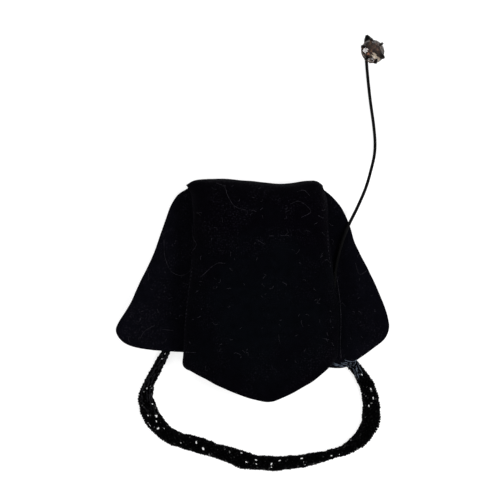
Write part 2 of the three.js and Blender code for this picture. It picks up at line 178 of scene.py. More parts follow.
# The strap's route: x, y from the hem's level, and the width there, in millimetres
STRAP_ROUTE = [
    (-20.4, 6.4, 2.3), (-21.7, 3.6, 2.4), (-23.4, 0.6, 2.6), (-25.0, -2.4, 2.8), (-26.4, -5.4, 3.3),
    (-26.7, -8.2, 4.1), (-25.9, -11.4, 4.5), (-24.0, -14.4, 4.5), (-21.3, -17.0, 4.2), (-18.2, -18.4, 4.0),
    (-13.8, -19.6, 4.2), (-9.2, -21.1, 4.0), (-4.8, -22.4, 4.3), (-2.4, -23.3, 4.7), (0.4, -24.0, 4.0),
    (6.0, -24.2, 3.8), (11.8, -23.7, 3.5), (17.0, -22.6, 3.0), (21.1, -21.5, 2.6), (24.7, -19.8, 3.5),
    (27.6, -17.2, 4.4), (29.2, -14.2, 4.7), (29.6, -10.4, 4.6), (29.1, -6.8, 4.2), (27.9, -3.9, 3.9),
    (26.1, -1.1, 3.3), (24.7, 0.8, 3.2), (23.5, 3.4, 3.2),
]

# Gaps where beads of the weave stand apart and the ground shows: x, y and radius in millimetres
STRAP_GAPS = [
    (-22.7, -16.9, 0.23), (-22.9, -19.0, 0.23), (-25.5, -23.7, 0.27), (-26.5, -24.3, 0.27),
    (-25.0, -28.1, 0.27), (-26.3, -31.1, 0.23), (-24.1, -31.2, 0.36), (-22.7, -31.9, 0.27),
    (-24.1, -32.5, 0.27), (-26.2, -33.0, 0.23), (-25.8, -33.6, 0.23), (-23.7, -34.3, 0.27),
    (-22.3, -34.3, 0.23), (-23.3, -36.2, 0.27), (-22.7, -36.7, 0.23), (-20.1, -38.2, 0.23),
    (-18.0, -37.8, 0.27), (-14.2, -37.8, 0.27), (-12.4, -39.4, 0.35), (-15.1, -39.6, 0.23),
    (-2.8, -40.3, 0.35), (-1.7, -42.6, 0.27), (0.8, -42.2, 0.23), (0.8, -43.1, 0.23),
    (4.6, -43.2, 0.27), (4.6, -43.9, 0.23), (6.7, -42.3, 0.27), (7.5, -44.3, 0.23),
    (12.2, -41.8, 0.23), (12.7, -42.6, 0.27), (13.0, -43.4, 0.23), (15.4, -43.0, 0.23),
    (19.6, -41.2, 0.27), (21.5, -40.9, 0.27), (25.5, -21.1, 0.23), (27.1, -20.9, 0.23),
    (29.5, -24.5, 0.23), (30.0, -26.8, 0.22), (28.9, -28.6, 0.28), (27.9, -28.8, 0.23),
    (31.4, -28.2, 0.27), (27.7, -30.5, 0.23), (24.0, -37.6, 0.27),
]

# Where the stone's setting stands on its foot, and how it leans towards the right and the back
JEWEL_FOOT = Vector((29.255, 59.160, 1.237)) * MM
JEWEL_TILT = math.radians(18)
JEWEL_AZIMUTH = math.radians(40)

# The claws are painted black from a level up the setting's axis, in millimetres, a painted dark reflection;
# one side of the foil is painted cream, a painted highlight
BLACK_LEVEL = 2.55
LEVEL_SCALE = 5.0
PAINTED_HIGHLIGHT_SIDE = Vector((0.26, -0.97, 0.0))
PAINTED_HIGHLIGHT_WIDTH = 0.985
DOWNWARD = -0.1
BLACK_EDGE = 0.03
SOFTENED_EDGE = 0.05 * MM
SOFTENED_STEPS = 2
FACET_ANGLE = math.radians(1.5)
METAL_SHADES = ((0.10, 0.085, 0.08), (0.45, 0.40, 0.36))
PAINTED_DARK_SHADE = (0.006, 0.005, 0.005)
METAL_ROUGHNESS = 0.15
WORN_ROUGHNESS = 0.2
GLASS_SHADE = (0.78, 0.69, 0.63, 1.0)
GLASS_INDEX = 1.52
GLASS_ROUGHNESS = 0.03
GLASS_CLEARNESS = 0.98
FOIL_ROUGHNESS = 0.2
PAINTED_HIGHLIGHT_ROUGHNESS = 0.3
FOIL_SHADES = ((0.095, 0.055, 0.043), (0.17, 0.115, 0.088))
PAINTED_HIGHLIGHT_SHADE = (1.0, 0.96, 0.82, 1.0)
WORN_SIZE = 0.8
FOIL_SIZE = 3.0
FOIL_INDEX = 1
PAINTED_HIGHLIGHT_INDEX = 2

# The wire's wound thread: how far it stands out, its turns and their waver, their depth in millimetres, and
# its shades
WINDING = 0.04 * MM
WINDING_SCALE = 1.6
WINDING_WAVER = 0.6
WAVER_SCALE = 3.0
WINDING_DEPTH = 0.05
WOUND_SHADES = ((0.0006, 0.0006, 0.0008), (0.0016, 0.0016, 0.002))

# The knot of thread round the doubled wire above the stone, in millimetres
KNOT_TURNS = 9
KNOT_STEPS = 14
KNOT_TOP_MIDDLE = 28.5
KNOT_FOOT_MIDDLE = 29.45
KNOT_TIP_HALF = 0.12
KNOT_FOOT_HALF = 1.35
KNOT_SWELL = 0.6
KNOT_TOP = 63.85
KNOT_FOOT = 61.3
KNOT_LEVEL = 0.72
KNOT_HALF_HEIGHT = 0.5
KNOT_THREAD = 0.19

# The steps of smooth lines: of routes, of plans in tables, and of lines with many points
ROUTE_STEPS = 12
PLAN_STEPS = 6
DENSE_STEPS = 2

# Threads: their shades are the deep one and the pale one
THREAD_ROUNDNESS = 1
THREAD_MERGE = MERGE_DISTANCE / 4
THREAD_ROUGHNESS = 0.8
THREAD_SHINE = 0.1
THREAD_MOTTLE = 0.9
THREAD_STOPS = [(0.35, 0.0), (0.7, 1.0)]
TWIST_SIZE = 0.12
TWIST_DEPTH = 0.03
LOOK_FROM = 50 * MM
TUFT_RADIUS = 0.05 * MM
TUFT_SPREAD = 0.13
TUFT_SEED = 8
THREAD_LIFT = 0.1 * MM
CORE_SHADES = ((0.0008, 0.0008, 0.001), (0.002, 0.002, 0.0025))
BLACK_SHADES = ((0.0008, 0.0008, 0.001), (0.003, 0.003, 0.004))
PALE_SHADES = ((0.003, 0.004, 0.006), (0.13, 0.16, 0.21))
GREY_SHADES = ((0.005, 0.005, 0.007), (0.030, 0.027, 0.036))
DARK_SHADES = ((0.002, 0.002, 0.0025), (0.015, 0.015, 0.018))

# The loose strands at the strap's left end: their first and last steps on its route, and how they wander
STRAND_COUNT = 9
STRAND_SEED = 21
STRAND_STEP = 0.8 * MM
STRAND_START = 4
STRAND_END = 22
STRAND_END_SPREAD = 6
STRAND_SPREAD = 0.9
STRAND_REACH = 0.8
WANDER_STEP = 0.35
WANDER_WIDTH = 0.25

# Lint: the short fibres' number, lengths in millimetres, corners and curl, and the least upward slant of the
# velvet where they lie
LINT_RADIUS = 0.04 * MM
LINT_SEED = 5
SHORT_LINT = 150
SHORTEST_LINT = 0.4
COMMON_LINT = 1.0
RARE_LINT = 1.6
RARITY = 3
LINT_CORNERS = 5
LINT_CURL = 0.6
LEVEL_ENOUGH = 0.35

# The seam: a pale thread in the crease, for worn pile and as a painted highlight of the fold's edge, and the
# lines of stitches, as lines of x and y in millimetres
SEAM_RADIUS = 0.06 * MM
STITCH_LENGTH = 0.45 * MM
STITCH_PITCH = 0.95 * MM
LIT_WORN_CREASE = [(20.7, 4.5), (21.35, 0.3), (21.9, -5.5), (21.85, -9.8), (21.7, -12.5), (21.9, -16.7)]
STITCH_LINES = [
    [(18.5, 15.0), (18.6, 10.5), (19.2, 6.0)],
    [(-15.0, 6.0), (-16.2, -2.0), (-16.9, -10.0)],
]

# The lashing at the strap's right end: the number of strands in a bundle, and its line of x and y in
# millimetres
LASHING = [
    (3, [(19.3, -17.9), (20.2, -18.55), (21.8, -18.75), (23.4, -18.9), (24.7, -18.9)]),
    (2, [(19.6, -17.5), (20.5, -17.9), (21.3, -18.3), (22.2, -18.5)]),
    (3, [(21.8, -17.9), (22.7, -18.2), (23.8, -18.3), (24.9, -18.8)]),
    (3, [(22.4, -17.7), (23.4, -17.8), (24.3, -18.0), (25.5, -18.6)]),
    (3, [(22.9, -17.2), (24.0, -17.4), (24.9, -17.5), (25.8, -17.2)]),
    (4, [(24.3, -18.9), (25.3, -18.3), (25.9, -17.1)]),
    (2, [(24.8, -18.9), (25.2, -20.3), (25.7, -21.3)]),
    (3, [(25.4, -18.5), (26.2, -19.75), (27.1, -21.3)]),
    (3, [(26.0, -17.7), (26.6, -19.1), (27.4, -20.7)]),
    (2, [(25.6, -18.7), (25.9, -20.2), (26.4, -21.9)]),
]

# The long fibres of lint, as lines of x and y in millimetres
LINT = [
    [(-22.2, 12.8), (-22.0, 8.8), (-20.8, 5.5), (-18.8, 4.0), (-16.8, 4.2), (-15.2, 5.5)],
    [(-15.2, 16.5), (-15.0, 13.5), (-14.0, 11.5), (-15.5, 9.5)],
    [(-9.0, 26.8), (-7.0, 25.8), (-6.2, 23.5), (-4.5, 21.0), (-1.8, 20.0)],
    [(-13.0, 3.5), (-9.2, 6.8), (-6.8, 7.0)],
    [(-17.5, 2.0), (-15.8, 1.5)],
    [(-28.2, -12.0), (-27.0, -10.0), (-24.5, -8.5)],
    [(-22.5, -9.5), (-19.8, -9.8)],
    [(-17.0, -15.0), (-14.0, -15.0)],
    [(9.2, 21.6), (11.5, 22.2), (14.2, 19.8), (11.8, 18.2)],
    [(1.0, 12.8), (3.0, 11.5)],
    [(6.8, 13.8), (8.8, 13.8)],
    [(25.5, 7.0), (26.5, 4.2), (28.5, 5.2)],
    [(10.8, 24.6), (12.6, 25.0), (14.0, 23.6)],
]

# The sockets of a Mix node that mixes colours
MIX_SHARE = 0
MIX_FIRST = 6
MIX_SECOND = 7
MIX_RESULT = 2


class Made:
    """A number that changes over a surface; arithmetic on it adds Math nodes."""

    def __init__(self, finish, socket):
        self.finish = finish
        self.socket = socket

    def math(self, operation, first, second):
        return self.finish.node("ShaderNodeMath", {"operation": operation}, {0: first, 1: second})

    def __add__(self, other):
        return self.math("ADD", self, other)

    def __radd__(self, other):
        return self.math("ADD", other, self)

    def __sub__(self, other):
        return self.math("SUBTRACT", self, other)

    def __rsub__(self, other):
        return self.math("SUBTRACT", other, self)

    def __mul__(self, other):
        return self.math("MULTIPLY", self, other)

    def __rmul__(self, other):
        return self.math("MULTIPLY", other, self)


class Finish:
    """One procedural material, with a Principled shader whose sockets are fed by name."""

    def __init__(self, name, **sockets):
        self.material = bpy.data.materials.new(name)
        self.material.use_nodes = True
        self.tree = self.material.node_tree
        self.shader = self.tree.nodes["Principled BSDF"]
        self.set(**sockets)

    def node(self, kind, settings=None, values=None, output=0):
        node = self.tree.nodes.new(kind)
        for name, setting in (settings or {}).items():
            if name == "stops":
                self.lay_stops(node.color_ramp, setting)
            else:
                setattr(node, name, setting)
        for name, value in (values or {}).items():
            self.feed(node.inputs[name], value)
        return Made(self, node.outputs[output])

    def lay_stops(self, ramp, stops):
        """Sets the two stops of a grey ramp."""
        for element, (position, shade) in zip(ramp.elements, stops):
            element.position = position
            element.color = (shade, shade, shade, 1.0)

    def feed(self, socket, value):
        if isinstance(value, Made):
            self.tree.links.new(value.socket, socket)
        else:
            socket.default_value = value

    def set(self, **sockets):
        for name, value in sockets.items():
            self.feed(self.shader.inputs[name.replace("_", " ")], value)

    def place(self):
        """Object coordinates in millimetres."""
        here = self.node("ShaderNodeTexCoord", output="Object")
        return self.node("ShaderNodeVectorMath", {"operation": "MULTIPLY"}, {0: here, 1: [1.0 / MM] * 3})

    def mottle(self, size, detail=2.0):
        """Soft noise, 0 to 1, with features of a size in millimetres."""
        values = {"Vector": self.place(), "Scale": 1.0 / size, "Detail": detail}
        return self.node("ShaderNodeTexNoise", None, values)

    def ramp(self, value, stops):
        return self.node("ShaderNodeValToRGB", {"stops": stops}, {"Fac": value})

    def mix(self, share, first, second, blend="MIX"):
        """A mixed colour; each of the two is a made one or a tuple of red, green and blue."""
        first, second = [(*shade, 1.0) if isinstance(shade, tuple) else shade for shade in (first, second)]
        values = {MIX_SHARE: share, MIX_FIRST: first, MIX_SECOND: second}
        return self.node("ShaderNodeMix", {"data_type": "RGBA", "blend_type": blend}, values, MIX_RESULT)

    def bump(self, height, depth):
        """A bumped normal whose height, 0 to 1, is a depth in millimetres."""
        values = {"Height": height, "Distance": depth * MM, "Strength": 1.0}
        return self.node("ShaderNodeBump", None, values)


def lamp_at(name, place, size, power):
    """A round soft lamp turned towards the hat."""
    lamp = bpy.data.lights.new(name, "AREA")
    lamp.shape = "DISK"
    lamp.size = size
    lamp.energy = power
    stand = bpy.data.objects.new(name, lamp)
    stand.location = place
    stand.rotation_euler = (-place).to_track_quat("-Z", "Y").to_euler()
    bpy.context.scene.collection.objects.link(stand)


def camera_and_room():
    camera = bpy.data.cameras.new("camera")
    camera.sensor_width = SENSOR_WIDTH
    camera.lens = SENSOR_WIDTH * CAMERA_PLACE.z / PICTURE_WIDTH
    camera.clip_start = CLIP_START
    holder = bpy.data.objects.new("camera", camera)
    holder.location = CAMERA_PLACE
    bpy.context.scene.collection.objects.link(holder)
    bpy.context.scene.camera = holder
    for number in range(RING_COUNT):
        angle = RING_START + 2 * math.pi * number / RING_COUNT
        place = Vector((RING_RADIUS * math.cos(angle), RING_RADIUS * math.sin(angle), RING_HEIGHT))
        lamp_at(f"ring_lamp_{number}", place, RING_SIZE, RING_POWER)
    lamp_at("key_lamp", Vector(KEY_PLACE), KEY_SIZE, KEY_POWER)
    lamp_at("glint_lamp", Vector(GLINT_PLACE), GLINT_SIZE, GLINT_POWER)
    world = bpy.data.worlds.new("room")
    world.use_nodes = True
    background = world.node_tree.nodes["Background"]
    background.inputs["Color"].default_value = (1.0, 1.0, 1.0, 1.0)
    background.inputs["Strength"].default_value = ROOM_LIGHT
    bpy.context.scene.world = world
    bpy.context.scene.view_settings.view_transform = "Standard"


def pale_floor():
    bm = bmesh.new()
    lowered = Matrix.Translation((0, 0, -FLOOR_DROP))
    bmesh.ops.create_grid(bm, x_segments=1, y_segments=1, size=FLOOR_REACH, matrix=lowered)
    floor = piece_of(bm, "floor")
    paper = Finish("light_table", Base_Color=FLOOR_SHADE, Roughness=FLOOR_ROUGHNESS)
    paper.set(Emission_Color=(1.0, 1.0, 1.0, 1.0), Emission_Strength=FLOOR_GLOW)
    floor.data.materials.append(paper.material)


def piece_of(bm, name, smooth=False):
    mesh = bpy.data.meshes.new(name)
    bm.to_mesh(mesh)
    bm.free()
    for polygon in mesh.polygons:
        polygon.use_smooth = smooth
    piece = bpy.data.objects.new(name, mesh)
    bpy.context.scene.collection.objects.link(piece)
    return piece


def node_copy(node):
    """The form of a CAD node with its corners merged."""
    bm = bmesh.new()
    bm.from_mesh(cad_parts[node].data)
    bmesh.ops.remove_doubles(bm, verts=bm.verts, dist=MERGE_DISTANCE)
    return bm


def evaluated_mesh(piece):
    depsgraph = bpy.context.evaluated_depsgraph_get()
    return bpy.data.meshes.new_from_object(piece.evaluated_get(depsgraph))


def cloudy(point):
    """A vector of noise; noise_vector isn't used, because it differs from run to run."""
    return Vector([noise.noise(point + step) for step in CLOUD_STEPS])


def rumpled(point, cloud):
    """A point moved as soft cloth lies, less and less towards the ground."""
    loose = min(1.0, point.z / LOOSE_HEIGHT)
    wide = cloudy(point / RUMPLE_SIZE + cloud) * RUMPLE_DEPTH
    fine = cloudy(point / RIPPLE_SIZE + cloud) * RIPPLE_DEPTH
    moved = point + (wide + fine) * loose
    moved.z = max(moved.z, 0.0)
    return moved


def rounded(node, name, divisions):
    """A piece in the node's form, rounded through the node's own corners."""
    bm = node_copy(node)
    bmesh.ops.join_triangles(
        bm, faces=bm.faces, angle_face_threshold=JOINED_ANGLE, angle_shape_threshold=JOINED_ANGLE
    )
    piece = piece_of(bm, name, smooth=True)
    rounding = piece.modifiers.new("rounding", "SUBSURF")
    rounding.levels = divisions
    rounding.render_levels = divisions
    corners = [vertex.co.copy() for vertex in piece.data.vertices]
    for _ in range(CAGE_ROUNDS):
        fitted = evaluated_mesh(piece)
        for vertex, corner, placed in zip(piece.data.vertices, corners, fitted.vertices):
            vertex.co += corner - placed.co
        bpy.data.meshes.remove(fitted)
    piece.data = evaluated_mesh(piece)
    piece.modifiers.clear()
    return piece


def velvet_piece(node, name, finish, cloud):
    """Cloth in the node's form, rumpled."""
    piece = rounded(node, name, VELVET_DIVISIONS)
    for vertex in piece.data.vertices:
        vertex.co = rumpled(vertex.co, cloud)
    shown(piece, finish, "velvet", node)
    return piece


def velvet(name, shades):
    """Black pile with painted shade, one lighter shade in the middle and a darker one outwards, dusty where
    it isn't handled.
    """
    finish = Finish(name, Roughness=1.0, Specular_IOR_Level=VELVET_SHINE)
    from_middle = finish.node(
        "ShaderNodeVectorMath", {"operation": "DISTANCE"}, {0: finish.place(), 1: CLEAN_AND_LIT_MIDDLE}, "Value"
    )
    outwards = from_middle * (1 / CLEAN_AND_LIT_REACH)
    # Painted shade: the tone is lighter at the front's middle and darker outwards, mixed with a random
    # mottle
    painted_shade = finish.ramp(0.5 * finish.mottle(SHADE_SIZE) + 0.5 * (1.0 - outwards), PAINTED_SHADE_STOPS)
    shaded_tone = finish.mix(painted_shade, *shades)
    brushed = finish.mix(finish.mottle(PATCH_SIZE, detail=4.0), *BRUSHED_SHADES)
    colour = finish.mix(1.0, shaded_tone, brushed, blend="MULTIPLY")
    specks = finish.ramp(finish.mottle(SPECK_SIZE, detail=1.0), SPECK_STOPS)
    dusty = finish.ramp(finish.mottle(DUST_SIZE), DUST_STOPS)
    unhandled = finish.ramp(outwards, OUTWARD_STOPS)
    colour = finish.mix(specks * dusty * unhandled, colour, DUST_SHADE)
    pile = finish.mottle(PILE_SIZE) * PILE_SHARE + finish.mottle(TUFTED_SIZE) * (1 - PILE_SHARE)
    finish.set(Base_Color=colour, Normal=finish.bump(pile, PILE_DEPTH))
    finish.set(Sheen_Weight=SHEEN, Sheen_Roughness=SHEEN_ROUGHNESS, Sheen_Tint=SHEEN_TINT)
    return finish


def smooth_line(points, steps=ROUTE_STEPS):
    """Close points on a smooth line through the given ones."""
    held = [2 * points[0] - points[1], *points, 2 * points[-1] - points[-2]]
    line = []
    for before, start, end, after in zip(held, held[1:], held[2:], held[3:]):
        leaving = start + (end - before) / 6
        arriving = end - (after - start) / 6
        line.extend(interpolate_bezier(start, leaving, arriving, end, steps + 1)[:-1])
    line.append(points[-1])
    return line


def evenly(line, spacing):
    """Places at equal spacing on a line, each with the direction there."""
    places = []
    ahead = 0.0
    for start, end in zip(line, line[1:]):
        length = (end - start).xy.length
        while ahead < length:
            places.append((start.lerp(end, ahead / length), (end - start).xy.normalized()))
            ahead += spacing
        ahead -= length
    return places


def seed_bead(flat):
    """A small glass ring with rounded shoulders, its hole along Z."""
    bm = bmesh.new()
    half = BEAD_LENGTH / 2
    shoulder = BEAD_RADIUS * BEAD_SHOULDER
    belt = half * BEAD_BELT
    outside = [(shoulder, -half), (BEAD_RADIUS, -belt), (BEAD_RADIUS, belt), (shoulder, half)]
    corners = [bm.verts.new((radius, 0, level)) for radius, level in [(BEAD_HOLE, 0.0), *outside]]
    edges = [bm.edges.new(pair) for pair in zip(corners, corners[1:] + corners[:1])]
    bmesh.ops.spin(
        bm, geom=corners + edges, cent=(0, 0, 0), axis=(0, 0, 1), angle=2 * math.pi, steps=BEAD_SIDES,
        use_merge=True, use_duplicate=False,
    )
    bmesh.ops.remove_doubles(bm, verts=bm.verts, dist=MERGE_DISTANCE)
    bmesh.ops.recalc_face_normals(bm, faces=bm.faces)
    mesh = bpy.data.meshes.new("seed_bead")
    bm.to_mesh(mesh)
    bm.free()
    for polygon in mesh.polygons:
        polygon.use_smooth = not flat
    return mesh


def copies(patterns, places):
    """Copies of meshes in one: places are pairs of a pattern's number and a matrix."""
    bm = bmesh.new()
    for number, matrix in places:
        one = patterns[number].copy()
        one.transform(matrix)
        bm.from_mesh(one)
        bpy.data.meshes.remove(one)
    return bm


def opened(beads):
    """The beads with the weave's gaps opened; beads are kinds, matrices and whether one is outermost."""
    for x, y, radius in STRAP_GAPS:
        gap = Vector((x, y)) * MM
        clear = radius * MM + STAND_BACK
        kept = []
        for kind, matrix, outermost in beads:
            away = matrix.translation.xy - gap
            if away.length < clear and not outermost:
                if away.length < GAP_CORE:
                    continue
                shift = away.normalized() * (clear - away.length)
                matrix = Matrix.Translation((*shift, 0)) @ matrix
            kept.append((kind, matrix, outermost))
        beads = kept
    return [(kind, matrix) for kind, matrix, _ in beads]


def strap_line():
    """The strap's route; the third coordinate is its width there."""
    rows = [Vector((x, HEM_LEVEL + y, width)) * MM for x, y, width in STRAP_ROUTE]
    return smooth_line(rows)


def beaded_band(finish):
    """Rings of seed beads around a flattened oval, stepping along the strap."""
    chance = random.Random(BEAD_SEED)
    beads = []
    half_height = STRAP_THICKNESS / 2 - BEAD_RADIUS
    for step, (place, along) in enumerate(evenly(strap_line(), BEAD_STEP)):
        side = Vector((along.y, -along.x, 0))
        half_width = place.z / 2 - BEAD_RADIUS
        around = math.pi * math.sqrt(2 * (half_width**2 + half_height**2))
        count = max(FEWEST_BEADS, round(around / (2 * BEAD_RADIUS)))
        for number in range(count):
            angle = 2 * math.pi * (number + 0.5 * (step % 2)) / count
            centre = Vector((place.x, place.y, STRAP_THICKNESS / 2))
            here = Vector((place.x, place.y, math.copysign(WAVE_SIZE, math.cos(angle))))
            wave = WAVE_DEPTH * noise.noise(here / WAVE_SIZE)
            centre += side * (half_width + wave) * math.cos(angle)
            centre.z += half_height * math.sin(angle)
            centre.x += chance.uniform(-BEAD_JITTER, BEAD_JITTER)
            centre.y += chance.uniform(-BEAD_JITTER, BEAD_JITTER)
            lean = BEAD_TILT * (1 if number % 2 else -1) + chance.gauss(0, TURN_SPREAD)
            heading = Matrix.Rotation(math.atan2(along.y, along.x) + lean, 4, "Z")
            laid = Matrix.Rotation(math.pi / 2 + chance.gauss(0, TURN_SPREAD), 4, "Y")
            spun = Matrix.Rotation(chance.uniform(0, math.pi), 4, "Z")
            size = Matrix.Scale(1 - chance.uniform(0, BEAD_SIZE_SPREAD), 4)
            kind = 1 if chance.random() < FACETED_SHARE else 0
            outermost = abs(math.cos(angle)) > OUTERMOST
            beads.append((kind, Matrix.Translation(centre) @ heading @ laid @ spun @ size, outermost))
    band = piece_of(copies([seed_bead(False), seed_bead(True)], opened(beads)), "strap_beads")
    shown(band, finish, "beads", "bead_strap")
    return band


def core_threads(finish):
    """The carrying threads in the middle of the strap, which part at the weave's gaps."""
    gaps = [(Vector((x, y)) * MM, CORE_PARTED * radius * MM) for x, y, radius in STRAP_GAPS]
    lines = []
    for lane in range(-CORE_LANES, CORE_LANES + 1):
        run = []
        for place, along in evenly(strap_line(), CORE_STEP):
            side = Vector((along.y, -along.x))
            offset = lane * CORE_PITCH
            point = place.xy + side * offset
            inside = abs(offset) < place.z / 2 - CORE_EDGE
            if inside and all((point - gap).length > clear for gap, clear in gaps):
                run.append(Vector((point.x, point.y, STRAP_THICKNESS / 2)))
            else:
                lines.append(run)
                run = []
        lines.append(run)
    core = threads("strap_core", [run for run in lines if len(run) > 1], CORE_RADIUS)
    shown(core, finish, "beads")


def shown(piece, finish, slot, *nodes):
    """Gives a piece its finish and lets it stand for CAD nodes; its slot is not used."""
    piece.data.materials.clear()
    piece.data.materials.append(finish.material)
    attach(piece, "root")
    if nodes:
        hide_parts(*nodes)


def glossy_beads():
    """Black glass, whose beads differ in tone and gloss; a few have a shinier cut side."""
    finish = Finish("black_glass_beads", Specular_IOR_Level=BEAD_SHINE)
    cut = finish.ramp(finish.mottle(CUT_SIZE, detail=0.0), CUT_STOPS)
    each = finish.ramp(finish.mottle(BEAD_TONE_SIZE, detail=0.0), BEAD_TONE_STOPS)
    roughness = LEAST_ROUGHNESS + ROUGHNESS_SPREAD * finish.mottle(GLOSS_SIZE)
    finish.set(Base_Color=finish.mix(each, *BEAD_SHADES), Roughness=roughness)
    finish.set(Coat_Weight=cut, Coat_Roughness=CUT_ROUGHNESS)
    return finish


def threads(name, lines, radius):
    """One mesh of closed round threads, one along each line of points."""
    curve = bpy.data.curves.new(name, "CURVE")
    curve.dimensions = "3D"
    curve.bevel_depth = radius
    curve.bevel_resolution = THREAD_ROUNDNESS
    curve.use_fill_caps = True
    for line in lines:
        spline = curve.splines.new("POLY")
        spline.points.add(len(line) - 1)
        for corner, point in zip(spline.points, line):
            corner.co = (*point, 1.0)
    drawn = bpy.data.objects.new(name, curve)
    bpy.context.scene.collection.objects.link(drawn)
    bm = bmesh.new()
    bm.from_mesh(evaluated_mesh(drawn))
    bpy.data.objects.remove(drawn)
    bmesh.ops.remove_doubles(bm, verts=bm.verts, dist=THREAD_MERGE)
    bmesh.ops.recalc_face_normals(bm, faces=bm.faces)
    return piece_of(bm, name, smooth=True)


class Ground:
    """What lies under a thread, seen from above."""

    def __init__(self, *covered):
        points = []
        faces = []
        for piece in covered:
            start = len(points)
            points.extend(vertex.co.copy() for vertex in piece.data.vertices)
            faces.extend([start + corner for corner in face.vertices] for face in piece.data.polygons)
        self.tree = BVHTree.FromPolygons(points, faces)

    def under(self, x, y):
        """The highest point there and its normal, or None and None off the pieces."""
        place, normal, _, _ = self.tree.ray_cast(Vector((x, y, LOOK_FROM)), Vector((0, 0, -1)))
        return place, normal

    def laid(self, line, lift):
        """A line of plan points laid on the pieces, or on the floor beside them, its middle lifted."""
        laid = []
        for point in line:
            place, _ = self.under(point.x, point.y)
            level = place.z if place else 0.0
            laid.append(Vector((point.x, point.y, level + lift)))
        return laid


def plan(rows, steps=PLAN_STEPS):
    """A smooth line through rows of x and y in millimetres."""
    return smooth_line([Vector((x, y, 0)) * MM for x, y in rows], steps)


def lint(ground, finish):
    """Pale fibres caught on the pile: the long ones where they lie, and short ones strewn over it."""
    lines = [ground.laid(plan(rows), LINT_RADIUS) for rows in LINT]
    chance = random.Random(LINT_SEED)
    low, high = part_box("bell_back")
    while len(lines) < len(LINT) + SHORT_LINT:
        start = Vector((chance.uniform(low.x, high.x), chance.uniform(low.y, high.y)))
        heading = chance.uniform(0, 2 * math.pi)
        length = chance.uniform(SHORTEST_LINT, COMMON_LINT + RARE_LINT * chance.random() ** RARITY) * MM
        points = []
        for _ in range(LINT_CORNERS):
            points.append(start.copy())
            heading += chance.gauss(0, LINT_CURL)
            start += Vector((math.cos(heading), math.sin(heading))) * length / (LINT_CORNERS - 1)
        hits = [ground.under(point.x, point.y) for point in points]
        if all(place and normal.z > LEVEL_ENOUGH for place, normal in hits):
            lines.append([place + normal * LINT_RADIUS for place, normal in hits])
    shown(threads("lint_fibres", lines, LINT_RADIUS), finish, "velvet")


def lashing(ground, finish):
    """The threads that hold the strap's right end to the hem: along the hem, and down the strap."""
    chance = random.Random(TUFT_SEED)
    lines = []
    for count, rows in LASHING:
        for _ in range(count):
            strand = [(x + chance.gauss(0, TUFT_SPREAD), y + chance.gauss(0, TUFT_SPREAD)) for x, y in rows]
            lines.append(ground.laid(plan(strand), THREAD_LIFT))
    shown(threads("lashing_threads", lines, TUFT_RADIUS), finish, "velvet")


def seam(wing, front, finish):
    """The pale thread in the crease right of the front, worn pile and painted highlight, and the small
    stitches that show along both its edges.
    """
    # Painted highlight: a pale thread lies where the fold's edge catches light, and it stands also for worn
    # pile
    lines = [wing.laid(plan(LIT_WORN_CREASE), SEAM_RADIUS)]
    for rows in STITCH_LINES:
        for place, along in evenly(plan(rows), STITCH_PITCH):
            end = place.xy + along * STITCH_LENGTH
            lines.append(front.laid([place, end], SEAM_RADIUS))
    shown(threads("seam_threads", lines, SEAM_RADIUS), finish, "velvet")


def strap_strands(ground, finish):
    """The loose carrying threads that show at the strap's left end."""
    chance = random.Random(STRAND_SEED)
    places = evenly(strap_line(), STRAND_STEP)
    lines = []
    for _ in range(STRAND_COUNT):
        across = chance.uniform(-STRAND_SPREAD, STRAND_SPREAD)
        wander = chance.uniform(0, 2 * math.pi)
        end = STRAND_END + chance.randrange(STRAND_END_SPREAD)
        rows = []
        for place, along in places[STRAND_START:end]:
            side = Vector((along.y, -along.x))
            wander += WANDER_STEP
            offset = (across + WANDER_WIDTH * math.sin(wander)) * place.z / 2 * STRAND_REACH
            point = place.xy + side * offset
            rows.append((point.x / MM, point.y / MM))
        lines.append(ground.laid(plan(rows, DENSE_STEPS), THREAD_LIFT))
    shown(threads("strap_threads", lines, TUFT_RADIUS), finish, "beads")


def thread_finish(name, shades):
    """Dull twisted thread between a deep and a pale shade."""
    finish = Finish(name, Roughness=THREAD_ROUGHNESS, Specular_IOR_Level=THREAD_SHINE)
    share = finish.ramp(finish.mottle(THREAD_MOTTLE), THREAD_STOPS)
    twist = finish.mottle(TWIST_SIZE, detail=1.0)
    finish.set(Base_Color=finish.mix(share, *shades), Normal=finish.bump(twist, TWIST_DEPTH))
    return finish


def covered_wire():
    """The wire with its wound thread, on the node's own line."""
    piece = rounded("stem_wire", "covered_wire", WIRE_DIVISIONS)
    outward = [vertex.normal.copy() for vertex in piece.data.vertices]
    for vertex, normal in zip(piece.data.vertices, outward):
        vertex.co += normal * WINDING
        vertex.co.z = max(vertex.co.z, 0.0)
    finish = Finish("wound_thread", Roughness=THREAD_ROUGHNESS, Specular_IOR_Level=THREAD_SHINE)
    bands = {"wave_type": "BANDS", "bands_direction": "Y"}
    turns = {"Vector": finish.place(), "Scale": WINDING_SCALE}
    waver = {"Distortion": WINDING_WAVER, "Detail Scale": WAVER_SCALE}
    winding = finish.node("ShaderNodeTexWave", bands, {**turns, **waver})
    finish.set(Base_Color=finish.mix(winding, *WOUND_SHADES), Normal=finish.bump(winding, WINDING_DEPTH))
    shown(piece, finish, "wire", "stem_wire")


